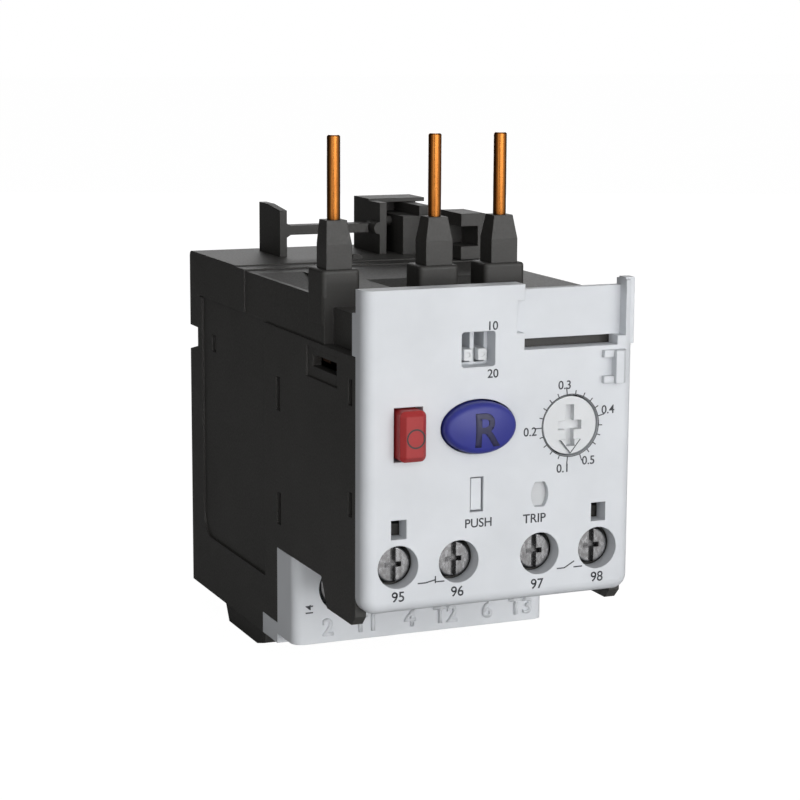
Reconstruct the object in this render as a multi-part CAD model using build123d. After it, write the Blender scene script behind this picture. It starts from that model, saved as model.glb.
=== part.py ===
"""Electronic overload relay for a motor starter, as an assembly of separate pieces.

Working axes while modelling, in millimetres: X runs to the right seen from the front,
Y runs from the front plate to the rear and Z runs up. Zero is the lower left corner of
the front plate. Every piece is written out with the origin moved to the middle power
pin, at the top of its insulating sleeve.
"""
from build123d import *
from math import radians, sin
import os

# Overall envelope of the housing
WIDTH = 45.0
REAR = 84.0
TOP = 46.5
SEAM = 38.8
WALL = 1.8
SEAT = 0.05

# Front cover
COVER_HIGH = 49.0
COVER_THICK = 2.9
COVER_FLANK = 3.3
COVER_SIDE_ROUND = 1.8
COVER_CORNER = 2.4
BAY_LEFT = 26.1
BAY_RIGHT = WIDTH - 1.6
BAY_BOTTOM = 40.4
BAY_PANEL_FRONT = 2.0
BAY_PANEL_THICK = 1.3
BAY_PANEL_TOP = 48.0
BAY_SLOT_HIGH = 1.4
BAY_SLOT_RIGHT = BAY_RIGHT - 1.4
BAY_NOTCH = 1.3
BAY_NOTCH_LOW = 41.6
BAY_NOTCH_HIGH = 46.5
EAR_DEPTH = 4.7
EAR_TOP = 49.3
SNAP_INSET = 0.3
SNAP_WIDE = 2.0
SNAP_REACH = 1.7
SNAP_PROUD = 1.5
SNAP_LOW = 33.2
SNAP_HIGH = 38.3
SNAP_ARM = 1.1

# Lower housing, side outline
LEG_REAR = 15.1
LEG_FOOT = -2.35
LEG_CHAMFER = 1.5
BAY_ROOF_FRONT = 17.7
BAY_ROOF = 2.2
FLANK_REAR = 38.15
FLANK_STEP = -10.6
SKIRT_FRONT = 45.4
BASE_BOTTOM = -14.15
NOTCH_BOTTOM = 28.75
NOTCH_TOP = 33.1
NOTCH_DEPTH = 4.35
FLOOR_THICK = 1.6
BACK_WALL_FRONT = 47.6
BACK_WALL_THICK = 1.6
FOOT_FRONT = 45.9
FOOT_REAR = REAR - 14.7
FOOT_DEPTH = 3.85
FOOT_INSET = 1.2
PANEL_FRONT = 44.0
PANEL_REAR = REAR - 6.7
PANEL_BOTTOM = -4.0
PANEL_DEPTH = 0.4
PANEL_ROUND = 4.0
GROOVE_DEPTH = 0.3
SIDE_WINDOW = (11.7, 22.0, 34.8, 36.7)
SIDE_RECESS = (10.7, 24.2, 33.0, 37.8)

# Upper housing
UPPER_FRONT = 17.0
INNER_TOP = TOP - 2.0
INNER_WALL = 1.4
STEP_REAR = REAR - 25.6
STEP_FRONT = STEP_REAR - 4.4
STEP_REAR_DROP = 0.2
STEP_FRONT_DROP = 0.25
PEDESTAL_TOP = 50.2
PEDESTAL_SPANS = [(0.0, 6.3), (16.2, 22.9), (27.3, 34.3)]
PEDESTAL_REARS = [23.7, 23.0, 23.0]
FUNNEL_SPANS = [(1.0, 9.0), (14.8, 24.0), (26.4, 35.4)]
FUNNEL_REARS = [50.0, 36.0, 36.0]
FUNNEL_FLOOR = 42.0
SHALLOW_CEILING = 40.2
DEEP_CEILING = TOP - 1.9
DEEP_FRONT = STEP_FRONT - 2.0

# Power pins, sleeves and phases
PIN_X = [2.75, 19.6, 30.8]
PIN_Y = 19.4
PIN_R = 1.03
PIN_ROOT_HALF = 0.85
PIN_TOP = 70.6
PIN_TIP = 0.2
PIN_CLEAR = 0.05
SLEEVE_TOP = 57.7
SLEEVE_SHOULDER = 54.0
SLEEVE_WIDE = 4.5
SLEEVE_DEEP = 4.2
SLEEVE_TOP_WIDE = 3.2
SLEEVE_TOP_DEEP = 3.2
SLEEVE_FRONT = 17.35
PHASE_PITCH = 0.3133 * WIDTH
PHASE_X = [WIDTH / 2 + i * PHASE_PITCH for i in (-1, 0, 1)]

# Power terminals: captive screw, box clamp and bus bar tongue
BLOCK_FRONT = 30.0
BLOCK_BOTTOM = -12.5
BLOCK_ROUND = 1.8
BLOCK_CHEEK = 2.6
POWER_AXIS_Z = -3.4
POWER_BORE_R = 4.1
POWER_HEAD_R = 3.5
POWER_HEAD_FRONT = 31.0
POWER_HEAD_LONG = 2.2
POWER_SHANK_R = 2.0
TONGUE_FRONT = 39.6
TONGUE_THICK = 1.4
TONGUE_WIDE = PHASE_PITCH - 6.7
TONGUE_BOTTOM = -9.0
CAGE_WIDE = PHASE_PITCH - 3.9
CAGE_SIDE = 0.9
CAGE_FRONT = 37.4
CAGE_FRONT_THICK = 1.8
CAGE_REAR = 47.2
CAGE_REAR_THICK = 1.2
CAGE_LOW = -8.0
CAGE_HIGH = 0.6
CAGE_TRAVEL = 3.6
THREAD_CLEAR = 0.08
FIN_THICK = 1.4
FIN_FRONT = 35.8
FIN_BOTTOM = BASE_BOTTOM

# Control terminals 95 to 98
CONTROL_X = [f * WIDTH for f in (0.1242, 0.3456, 0.648, 0.87)]
CONTROL_Z = 7.2
CONTROL_HOLE_R = 3.3
CONTROL_HEAD_R = 2.8
CONTROL_HEAD_FRONT = 2.0
CONTROL_HEAD_LONG = 1.9
CONTROL_SHANK_R = 1.5
CONTROL_TONGUE_FRONT = 10.2
CONTROL_TONGUE_THICK = 1.0
CONTROL_TONGUE_WIDE = 4.0
CONTROL_TONGUE_LOW = 3.9
CONTROL_CAGE_WIDE = 0.129 * WIDTH
CONTROL_CAGE_SIDE = 0.6
CONTROL_CAGE_FRONT = 8.6
CONTROL_CAGE_FRONT_THICK = 1.2
CONTROL_CAGE_REAR = 15.4
CONTROL_CAGE_REAR_THICK = 0.8
CONTROL_CAGE_LOW = 4.4
CONTROL_CAGE_HIGH = 10.0
CONTROL_CAGE_TRAVEL = 2.6
CARRIER_FRONT = 3.35
CARRIER_REAR = 16.8
CARRIER_LOW = 0.5
CARRIER_HIGH = 13.2
SCREW_SLOT = 0.9
SCREW_SLOT_DEPTH = 0.9
CROSS_LONG = 2.7
CROSS_WIDE = 0.8

# Buttons, all pressed towards the rear
RESET_X = 0.412 * WIDTH
RESET_Z = 27.8
RESET_WIDE = 0.264 * WIDTH
RESET_HIGH = 7.9
RESET_PROUD = 2.5
RESET_DOME_R = 15.0
RESET_EDGE = 1.1
RESET_TRAVEL = 2.4
STOP_X = 0.159 * WIDTH
STOP_Z = 27.35
STOP_WIDE = 4.2
STOP_HIGH = 7.7
STOP_PROUD = 2.5
STOP_BEVEL = 0.75
STOP_TRAVEL = 2.4
TEST_X = 18.42
TEST_Z = 17.35
TEST_WIDE = 1.7
TEST_HIGH = 4.9
TEST_SUNK = 0.35
TEST_TRAVEL = 2.0
BUTTON_GAP = 0.25
FLANGE_GAP = 0.1
FLANGE_THICK = 0.9
FLANGE_OVER = 0.7
STEM_R = 1.6
STEM_END = 12.0
SPRING_WIRE_R = 0.18
SPRING_TURNS = 3.5

# Control board and what it carries
BOARD_FRONT = 8.0
BOARD_THICK = 1.6
BOARD_GAP = 0.2
BOARD_LEFT = WALL + BOARD_GAP
BOARD_LOW = 13.6
BOARD_HIGH = 42.8
DIAL_X = 0.758 * WIDTH
DIAL_Z = 26.9
DIAL_R = 4.5
DIAL_HOLE_R = 4.75
DIAL_FRONT = 0.25
DIAL_THICK = 2.3
DIAL_STEM_R = 1.5
DIAL_STEM_CLEAR = 0.05
DIAL_SLOT_LONG = 6.4
DIAL_SLOT_SHORT = 4.0
DIAL_SLOT_WIDE = 1.4
DIAL_SLOT_DEPTH = 1.1
POT_WIDE = 10.0
POT_FRONT = 4.6
SWITCH_WINDOW = (15.7, 21.25, 36.85, 42.2)
SWITCH_LEFT = 15.0
SWITCH_RIGHT = 22.0
SWITCH_LOW = 36.0
SWITCH_HIGH = 42.6
LEVER_X = [17.5, 19.85]
LEVER_WIDE = 1.35
LEVER_HIGH = 1.75
LEVER_LOW = 37.6
LEVER_FRONT = 1.6
LEVER_TRAVEL = 1.7
LEVER_SLOT_WIDE = 1.65
LEVER_SLOT_LOW = 37.2
LEVER_SLOT_HIGH = 41.9
LIGHT_X = 29.05
LIGHT_Z = 16.5
LIGHT_WIDE = 2.9
LIGHT_HIGH = 3.9
LIGHT_SIDE_R = 3.2
LIGHT_FRONT = 0.8
PROBE_SIZE = (2.5, 2.95)
PROBE_Z = 12.95
PROBE_X = [5.68, WIDTH - 5.78]

# Trip relay and contacts
YOKE_THICK = 1.2
YOKE_WIDE = 0.2 * WIDTH
YOKE_LEFT = (WIDTH - YOKE_WIDE) / 2
PIVOT_Y = 33.0
PIVOT_Z = 18.05
PIVOT_CLEAR = 0.05
CORE_Y = 26.4
CORE_R = 2.0
COIL_R = 5.4
COIL_TOP = 16.4
ARMATURE_NOSE = 15.9
ARMATURE_THICK = 1.2
ARMATURE_SWING = 5.5
NOSE_WIDE = 4.0
STRIP_WIDE = 3.0
STRIP_THICK = 0.8
STRIP_RISE_Y = 19.0
STRIP_SHELF_Z = 13.6
CONTACT_Y = 17.0
CONTACT_R = 1.0
CONTACT_HIGH = 0.8
BRIDGE_THICK = 0.8
BRIDGE_DEEP = 2.6
BRIDGE_OVER = 1.2
BEAM_INSET = 1.5
CLOSED_Z = 29.6
OPEN_Z = 21.8
CARRIAGE_TRAVEL = 1.5
CARRIAGE_CLEAR = 0.35

# Current transformers
CT_FRONT = REAR - 31.0
CT_REAR = CT_FRONT + 20.0
CT_HALF = PHASE_PITCH / 2 - 0.85
CT_WINDOW_HALF = CT_HALF - 2.8
CT_WINDOW_FRONT = CT_FRONT + 3.5
CT_WINDOW_REAR = CT_REAR - 4.0
CT_LOW = 18.5
CT_HIGH = 23.5
WINDING_HALF = CT_WINDOW_HALF - 0.3
WINDING_FRONT = CT_REAR - 6.6
WINDING_REAR = CT_REAR + 2.9
WINDING_LOW = 15.8
WINDING_HIGH = 26.2
SENSOR_BOARD_FRONT = WINDING_REAR + 0.1
BAR_WIDE = 4.0
BAR_THICK = 1.2
BAR_TOP = 36.8
BAR_BEND = 6.0
BAR_JOG = 16.0
BAR_REAR = CT_WINDOW_FRONT + 3.5
BAR_LOW = 5.0

# Mounting features on the roof
POST_X = 11.5
POST_THICK = 1.3
POST_REAR = REAR - 5.0
POST_FRONT = POST_REAR - 10.9
POST_TOP = TOP + 8.8
ARM_LOW = TOP + 3.8
ARM_HIGH = TOP + 5.4
ARM_DEEP = 3.0
ARM_END = 28.3
BALL_R = 1.1
LATCH_LEFT = 29.7
LATCH_FRONT = POST_REAR - 12.5
LATCH_RIGHT = 40.6
LATCH_TOP = TOP + 9.1
LATCH_BLOCK = (33.3, 38.6, POST_REAR - 14.6, TOP + 6.8)
LATCH_ROD_R = 0.9
HOOK_LEFT = 39.7
HOOK_RIGHT = 44.6
HOOK_FRONT = REAR - 30.4
HOOK_REAR = REAR - 21.5
HOOK_SLOT = (TOP + 2.3, TOP + 5.8)
HOOK_TOP = TOP + 8.0
HOOK_WEB = 1.7
DISC_X = 22.8
DISC_Y = 60.0
DISC_R = 0.95
DISC_THICK = 0.9

ORIGIN = (PIN_X[1], PIN_Y, SLEEVE_TOP)
FLOOR_TOP = BAY_ROOF + FLOOR_THICK


def block(x0, x1, y0, y1, z0, z1):
    """Box between two corners."""
    return Pos((x0 + x1) / 2, (y0 + y1) / 2, (z0 + z1) / 2) * Box(x1 - x0, y1 - y0, z1 - z0)


def pin_root(x, clear, z0, z1):
    """Square root of a power pin, or with a clearance the hole for it."""
    half = PIN_ROOT_HALF + clear
    return block(x - half, x + half, PIN_Y - half, PIN_Y + half, z0, z1)


def side_prism(points, x0, x1):
    """Solid from an outline in Y and Z, between two X planes."""
    return extrude(Plane.YZ.offset(x0) * Polygon(*points, align=None), amount=x1 - x0, dir=(1, 0, 0))


def front_prism(points, y0, y1):
    """Solid from an outline in X and Z, between two Y planes."""
    return extrude(Plane.XZ.offset(-y0) * Polygon(*points, align=None), amount=y1 - y0, dir=(0, 1, 0))


def roof_prism(points, z0, z1):
    """Solid from an outline in X and Y, between two Z planes."""
    return extrude(Plane.XY.offset(z0) * Polygon(*points, align=None), amount=z1 - z0, dir=(0, 0, 1))


def rectangle_at(x0, x1, y0, y1, z):
    """Level rectangle at one height."""
    return Plane.XY.offset(z) * Polygon((x0, y0), (x1, y0), (x1, y1), (x0, y1), align=None)


def rod_y(x, z, r, y0, y1):
    """Round bar along Y."""
    return Pos(x, (y0 + y1) / 2, z) * Rot(90, 0, 0) * Cylinder(r, y1 - y0)


def rod_z(x, y, r, z0, z1):
    """Round bar along Z."""
    return Pos(x, y, (z0 + z1) / 2) * Cylinder(r, z1 - z0)


def rod_x(x0, x1, y, z, r):
    """Round bar along X."""
    return Pos((x0 + x1) / 2, y, z) * Rot(0, 90, 0) * Cylinder(r, x1 - x0)


def mirrored(shape):
    """The same shape on the other side of the housing's middle plane."""
    return mirror(shape, about=Plane.YZ.offset(WIDTH / 2))


def both_sides(shape):
    """A feature of the left side together with its right-hand twin."""
    return shape + mirrored(shape)


def base_housing():
    """Lower housing: side walls with front legs, floor, rear box, rail notch and rear foot."""
    leg_front = COVER_FLANK
    outline = [
        (leg_front, SEAM),
        (leg_front, LEG_FOOT + LEG_CHAMFER),
        (leg_front + LEG_CHAMFER, LEG_FOOT),
        (LEG_REAR, LEG_FOOT),
        (BAY_ROOF_FRONT, BAY_ROOF),
        (FLANK_REAR, BAY_ROOF),
        (FLANK_REAR, FLANK_STEP),
        (SKIRT_FRONT, FLANK_STEP),
        (SKIRT_FRONT, BASE_BOTTOM),
        (REAR, BASE_BOTTOM),
        (REAR, NOTCH_BOTTOM),
        (REAR - NOTCH_DEPTH, NOTCH_BOTTOM + 1.0),
        (REAR - NOTCH_DEPTH, SEAM),
    ]
    body = side_prism(outline, 0, WIDTH)
    back_wall_rear = BACK_WALL_FRONT + BACK_WALL_THICK
    room = [
        (leg_front - 1, SEAM + 1),
        (leg_front - 1, LEG_FOOT - 1),
        (CARRIER_REAR, LEG_FOOT - 1),
        (CARRIER_REAR, FLOOR_TOP),
        (back_wall_rear, FLOOR_TOP),
        (back_wall_rear, BASE_BOTTOM + WALL),
        (REAR - WALL, BASE_BOTTOM + WALL),
        (REAR - WALL, NOTCH_BOTTOM - WALL),
        (REAR - NOTCH_DEPTH - WALL, NOTCH_BOTTOM),
        (REAR - NOTCH_DEPTH - WALL, SEAM + 1),
    ]
    body -= side_prism(room, WALL, WIDTH - WALL)
    body -= block(WALL, WIDTH - WALL, BAY_ROOF_FRONT, BACK_WALL_FRONT, BASE_BOTTOM - 1, BAY_ROOF)
    foot = [
        (FOOT_REAR, BASE_BOTTOM),
        (FOOT_REAR - 2.4, BASE_BOTTOM - FOOT_DEPTH),
        (FOOT_FRONT + 5.9, BASE_BOTTOM - FOOT_DEPTH),
        (FOOT_FRONT + 2.2, BASE_BOTTOM - FOOT_DEPTH + 1.0),
        (FOOT_FRONT + 1.7, BASE_BOTTOM),
    ]
    body += side_prism(foot, FOOT_INSET, WIDTH - FOOT_INSET)
    body -= block(WALL + FOOT_INSET, WIDTH - WALL - FOOT_INSET, FOOT_FRONT + 7.0, FOOT_REAR - 3.6,
                  BASE_BOTTOM - FOOT_DEPTH + WALL, BASE_BOTTOM + WALL + 1)
    for i in (0, 1):
        fin_x = (PHASE_X[i] + PHASE_X[i + 1]) / 2
        body += block(fin_x - FIN_THICK / 2, fin_x + FIN_THICK / 2, FIN_FRONT, BACK_WALL_FRONT + 0.5,
                      FIN_BOTTOM, BAY_ROOF + 0.5)
    for x in PHASE_X:
        body -= block(x - TONGUE_WIDE / 2 - 0.3, x + TONGUE_WIDE / 2 + 0.3, TONGUE_FRONT - 0.3,
                      TONGUE_FRONT + TONGUE_THICK + 0.3, BAY_ROOF - 1, FLOOR_TOP + 1)
    # Recessed side panel, latch window and the narrow moulded slits
    panel = side_prism([(PANEL_FRONT, SEAM + 1), (PANEL_FRONT, PANEL_BOTTOM),
                        (PANEL_REAR, PANEL_BOTTOM), (PANEL_REAR, SEAM + 1)], -1, PANEL_DEPTH)
    corner = panel.edges().filter_by(Axis.X).sort_by(lambda e: e.center().Y - e.center().Z)[-1]
    body -= both_sides(fillet(corner, PANEL_ROUND))
    body -= both_sides(block(-1, WALL + 1, *SIDE_WINDOW) + block(-1, GROOVE_DEPTH, *SIDE_RECESS))
    slits = [
        (36.3, 38.3, 25.2, 30.8),
        (36.1, 38.1, 6.3, 11.6),
        (4.6, 6.3, 31.3, 35.3),
        (4.6, 6.3, 14.3, 18.1),
        (70.5, 72.7, 29.8, 32.8),
    ]
    for y0, y1, z0, z1 in slits:
        body -= both_sides(block(-1, 1.0, y0, y1, z0, z1))
    return body


def upper_housing():
    """Upper housing: roof with pedestals, sloped funnels, front chamber and the rear lip."""
    outline = [
        (UPPER_FRONT, SEAM),
        (UPPER_FRONT, TOP - STEP_REAR_DROP - STEP_FRONT_DROP),
        (STEP_FRONT, TOP - STEP_REAR_DROP - STEP_FRONT_DROP),
        (STEP_FRONT, TOP - STEP_REAR_DROP),
        (STEP_REAR, TOP - STEP_REAR_DROP),
        (STEP_REAR, TOP),
        (REAR, TOP),
        (REAR, NOTCH_TOP),
        (REAR - NOTCH_DEPTH, NOTCH_TOP),
        (REAR - NOTCH_DEPTH, SEAM),
    ]
    body = side_prism(outline, 0, WIDTH)
    rear_top = body.edges().filter_by(Axis.X).sort_by(lambda e: e.center().Y + e.center().Z)[-1]
    body = fillet(rear_top, 1.0)
    body -= both_sides(block(-1, STEP_FRONT_DROP, UPPER_FRONT - 1, STEP_FRONT, SEAM - 1, TOP + 1))
    groove = block(-1, GROOVE_DEPTH, UPPER_FRONT - 1, PANEL_REAR + 1, SEAM - 1, SEAM + GROOVE_DEPTH)
    body -= both_sides(groove)
    for (x0, x1), y1 in zip(PEDESTAL_SPANS, PEDESTAL_REARS):
        pedestal = block(x0, x1, UPPER_FRONT, y1, SEAM + 3, PEDESTAL_TOP)
        pedestal = fillet(pedestal.edges().filter_by(Axis.Z), 0.8)
        body += fillet(pedestal.edges().group_by(Axis.Z)[-1], 0.5)
    for (x0, x1), y0, y1 in zip(FUNNEL_SPANS, PEDESTAL_REARS, FUNNEL_REARS):
        body -= side_prism([(y0, FUNNEL_FLOOR), (y0, TOP + 1), (y1, TOP + 1), (y1, TOP - 0.45)], x0, x1)
    body += block(WALL, WIDTH - WALL, COVER_FLANK + 0.1, UPPER_FRONT + 0.5, SEAM, INNER_TOP)
    body -= block(WALL + INNER_WALL, WIDTH - WALL - INNER_WALL, COVER_FLANK - 1, UPPER_FRONT + 2.0, SEAM - 1,
                  INNER_TOP - INNER_WALL)
    body -= block(WALL, WIDTH - WALL, UPPER_FRONT + WALL, DEEP_FRONT + 1, SEAM - 1, SHALLOW_CEILING)
    body -= block(WALL, WIDTH - WALL, DEEP_FRONT, REAR - NOTCH_DEPTH - WALL, SEAM - 1, DEEP_CEILING)
    body += block(BAY_LEFT - 1.5, WIDTH - WALL, COVER_FLANK + 0.1, COVER_FLANK + INNER_WALL, SEAM, INNER_TOP)
    body += rod_y(DISC_X, TOP, DISC_R, DISC_Y, DISC_Y + DISC_THICK)
    for (x0, x1), x in zip(PEDESTAL_SPANS, PIN_X):
        body += rod_z(x, PIN_Y, PIN_ROOT_HALF + 1.5, SHALLOW_CEILING - 0.5, SHALLOW_CEILING + 3)
        body -= pin_root(x, PIN_CLEAR, SEAM - 1, PEDESTAL_TOP + 1)
    return body


def barrel(x, z, wide, high, side_r, y0, y1):
    """Upright barrel outline: two arcs for the sides, cut flat above and below."""
    shift = side_r - wide / 2
    left = rod_y(x + shift, z, side_r, y0, y1)
    right = rod_y(x - shift, z, side_r, y0, y1)
    return left & right & block(x - wide, x + wide, y0, y1, z - high / 2, z + high / 2)


def ellipse_y(x, z, wide, high, y0, y1):
    """Elliptical bar along Y."""
    outline = Plane.XZ.offset(-y0) * Pos(x, z) * Ellipse(wide / 2, high / 2)
    return extrude(outline, amount=y1 - y0, dir=(0, 1, 0))


def window(x, z, wide, high):
    """Rectangular opening right through the front cover."""
    return block(x - wide / 2, x + wide / 2, -1, COVER_FLANK + 1, z - high / 2, z + high / 2)


def front_cover():
    """Light front cover with its openings, module bay, ear and snap hook."""
    body = block(0, WIDTH, 0, COVER_FLANK, 0, COVER_HIGH)
    uprights = body.edges().filter_by(Axis.Y).group_by(Axis.Z)[0]
    body = fillet(uprights, COVER_CORNER)
    front_edges = body.faces().sort_by(Axis.Y)[0].edges().filter_by(Axis.Z)
    body = fillet(front_edges, COVER_SIDE_ROUND)
    body -= block(1.4, WIDTH - 1.4, COVER_THICK, COVER_FLANK + 1, 1.4, COVER_HIGH - 1.2)
    body += block(0, 1.2, COVER_THICK, EAR_DEPTH, SEAM + 0.1, INNER_TOP + 0.8)
    # Module bay: open to the front and above, closed by a thin panel behind
    body -= block(BAY_LEFT, BAY_RIGHT, -1, COVER_FLANK + 1, BAY_BOTTOM, EAR_TOP + 1)
    body -= block(BAY_LEFT - BAY_NOTCH, BAY_LEFT + 1, -1, BAY_PANEL_FRONT, BAY_NOTCH_LOW, BAY_NOTCH_HIGH)
    body += block(BAY_LEFT - BAY_NOTCH - 0.5, BAY_RIGHT + 0.5, BAY_PANEL_FRONT,
                  BAY_PANEL_FRONT + BAY_PANEL_THICK, BAY_BOTTOM, BAY_PANEL_TOP)
    body -= block(BAY_LEFT, BAY_SLOT_RIGHT, -1, COVER_FLANK + 1, BAY_BOTTOM - BAY_SLOT_HIGH, BAY_BOTTOM)
    body += block(BAY_RIGHT, WIDTH, 0.4, BAY_PANEL_FRONT + 0.5, BAY_BOTTOM - 1.4, EAR_TOP)
    # Snap hook under the bay
    right = BAY_RIGHT - SNAP_INSET
    left = right - SNAP_WIDE
    body += roof_prism([(left, 0.5), (left, -SNAP_PROUD), (right - 0.7, -SNAP_PROUD),
                        (right, 0.7 - SNAP_PROUD), (right, 0.5)], SNAP_LOW, SNAP_HIGH)
    for z in (SNAP_LOW, SNAP_HIGH - SNAP_ARM):
        body += block(left - SNAP_REACH, left, -SNAP_PROUD / 2, 0.5, z, z + SNAP_ARM)
    # Openings for the controls
    body -= ellipse_y(RESET_X, RESET_Z, RESET_WIDE + 2 * BUTTON_GAP, RESET_HIGH + 2 * BUTTON_GAP,
                      -1, COVER_FLANK + 1)
    body -= window(STOP_X, STOP_Z, STOP_WIDE + 2 * BUTTON_GAP, STOP_HIGH + 2 * BUTTON_GAP)
    body -= window(TEST_X, TEST_Z, TEST_WIDE + 2 * BUTTON_GAP, TEST_HIGH + 2 * BUTTON_GAP)
    body -= rod_y(DIAL_X, DIAL_Z, DIAL_HOLE_R, -1, COVER_FLANK + 1)
    body -= barrel(LIGHT_X, LIGHT_Z, LIGHT_WIDE, LIGHT_HIGH, LIGHT_SIDE_R, -1, COVER_FLANK + 1)
    x0, x1, z0, z1 = SWITCH_WINDOW
    opening = block(x0, x1, -1, COVER_FLANK + 1, z0, z1)
    body -= fillet(opening.edges().filter_by(Axis.Y), 0.5)
    for x in CONTROL_X:
        body -= rod_y(x, CONTROL_Z, CONTROL_HOLE_R, -1, COVER_FLANK + 1)
    for x in PROBE_X:
        body -= window(x, PROBE_Z, *PROBE_SIZE)
    return body


def terminal_block():
    """Light block under the housing with three bores, box clamp pockets and wire entries."""
    side = SEAT
    rear = BACK_WALL_FRONT - SEAT
    body = block(0, WIDTH, BLOCK_FRONT, FLANK_REAR - SEAT, BLOCK_BOTTOM, BAY_ROOF - SEAT)
    body = fillet(body.faces().sort_by(Axis.Y)[0].edges().filter_by(Axis.Z), BLOCK_ROUND)
    body += block(0, WIDTH, FLANK_REAR - 1, SKIRT_FRONT - SEAT, BLOCK_BOTTOM, FLANK_STEP - SEAT)
    body += block(WALL + side, WIDTH - WALL - side, FLANK_REAR - 1, rear, BLOCK_BOTTOM, BAY_ROOF - SEAT)
    body += both_sides(block(0, BLOCK_CHEEK, FLANK_REAR, SKIRT_FRONT - SEAT, BASE_BOTTOM, BLOCK_BOTTOM + 1))
    pocket = CAGE_WIDE / 2 + 0.3
    pocket_front = POWER_HEAD_FRONT + POWER_HEAD_LONG + 0.3
    for x in PHASE_X:
        body -= rod_y(x, POWER_AXIS_Z, POWER_BORE_R, BLOCK_FRONT - 1, pocket_front + 0.1)
        body -= block(x - pocket, x + pocket, pocket_front, rear + 1, CAGE_LOW - 0.4, BAY_ROOF + 1)
        body -= block(x - TONGUE_WIDE / 2 - 0.2, x + TONGUE_WIDE / 2 + 0.2, TONGUE_FRONT + TONGUE_THICK,
                      CAGE_REAR - CAGE_REAR_THICK, BLOCK_BOTTOM - 1, CAGE_LOW)
        body -= block(x - TONGUE_WIDE / 2 - 0.2, x + TONGUE_WIDE / 2 + 0.2, TONGUE_FRONT - 0.3,
                      CAGE_REAR - CAGE_REAR_THICK, TONGUE_BOTTOM - 0.4, CAGE_LOW)
    for i in (0, 1):
        fin_x = (PHASE_X[i] + PHASE_X[i + 1]) / 2
        body -= block(fin_x - FIN_THICK / 2 - SEAT, fin_x + FIN_THICK / 2 + SEAT, FIN_FRONT - SEAT,
                      rear + 1, BLOCK_BOTTOM - 1, BAY_ROOF + 1)
    return body


def control_block():
    """Insulating block behind the cover that holds the four control clamps."""
    side = WALL + SEAT
    body = block(side, WIDTH - side, CARRIER_FRONT, CARRIER_REAR - SEAT, CARRIER_LOW, CARRIER_HIGH)
    half = CONTROL_CAGE_WIDE / 2 + 0.3
    pocket_front = CONTROL_HEAD_FRONT + CONTROL_HEAD_LONG + 0.3
    for x in CONTROL_X:
        body -= rod_y(x, CONTROL_Z, CONTROL_HEAD_R + 0.3, CARRIER_FRONT - 1, pocket_front + 0.1)
        body -= block(x - half, x + half, pocket_front, CONTROL_CAGE_REAR + 0.3, CONTROL_CAGE_LOW - 0.6,
                      CONTROL_CAGE_HIGH + 0.4)
        body -= block(x - CONTROL_TONGUE_WIDE / 2 - 0.2, x + CONTROL_TONGUE_WIDE / 2 + 0.2,
                      CONTROL_TONGUE_FRONT + CONTROL_TONGUE_THICK,
                      CONTROL_CAGE_REAR - CONTROL_CAGE_REAR_THICK, CARRIER_LOW - 1, CONTROL_CAGE_LOW)
        body -= block(x - CONTROL_TONGUE_WIDE / 2 - SEAT, x + CONTROL_TONGUE_WIDE / 2 + SEAT,
                      CONTROL_TONGUE_FRONT - SEAT, CONTROL_TONGUE_FRONT + CONTROL_TONGUE_THICK + SEAT,
                      CONTROL_CAGE_HIGH, CARRIER_HIGH + 1)
        body -= block(x - CONTROL_TONGUE_WIDE / 2 - SEAT, x + CONTROL_TONGUE_WIDE / 2 + SEAT,
                      CONTROL_TONGUE_FRONT - SEAT, CONTROL_TONGUE_FRONT + CONTROL_TONGUE_THICK + SEAT,
                      CONTROL_TONGUE_LOW - SEAT, CONTROL_CAGE_LOW)
    return body


def pin_sleeves():
    """Three tapered insulating sleeves round the roots of the power pins."""
    sleeves = []
    for i, x in enumerate(PIN_X):
        left = x - SLEEVE_WIDE / 2
        right = x + SLEEVE_WIDE / 2
        top_left = x - SLEEVE_TOP_WIDE / 2
        if i == 0:
            left = PEDESTAL_SPANS[0][0] + 0.8
            top_left = left + 0.25
        top_right = x + SLEEVE_TOP_WIDE / 2
        rear = SLEEVE_FRONT + SLEEVE_DEEP
        slope = (SLEEVE_DEEP - SLEEVE_TOP_DEEP) / 2
        foot = block(left, right, SLEEVE_FRONT, rear, PEDESTAL_TOP, SLEEVE_SHOULDER)
        lower = rectangle_at(left, right, SLEEVE_FRONT, rear, SLEEVE_SHOULDER)
        upper = rectangle_at(top_left, top_right, SLEEVE_FRONT + slope, rear - slope, SLEEVE_TOP)
        sleeve = foot + loft([lower, upper])
        sleeve -= pin_root(x, PIN_CLEAR, PEDESTAL_TOP - 1, SLEEVE_TOP + 1)
        sleeves.append(sleeve)
    return Compound(children=sleeves)


def power_pin(x):
    """Copper pin for the contactor's load terminal, square inside its sleeve so that it can't turn."""
    pin = rod_z(x, PIN_Y, PIN_R, SLEEVE_TOP, PIN_TOP)
    pin = chamfer(pin.edges().sort_by(Axis.Z)[-1], PIN_TIP)
    return pin + pin_root(x, 0, BAR_TOP, SLEEVE_TOP)


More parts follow.
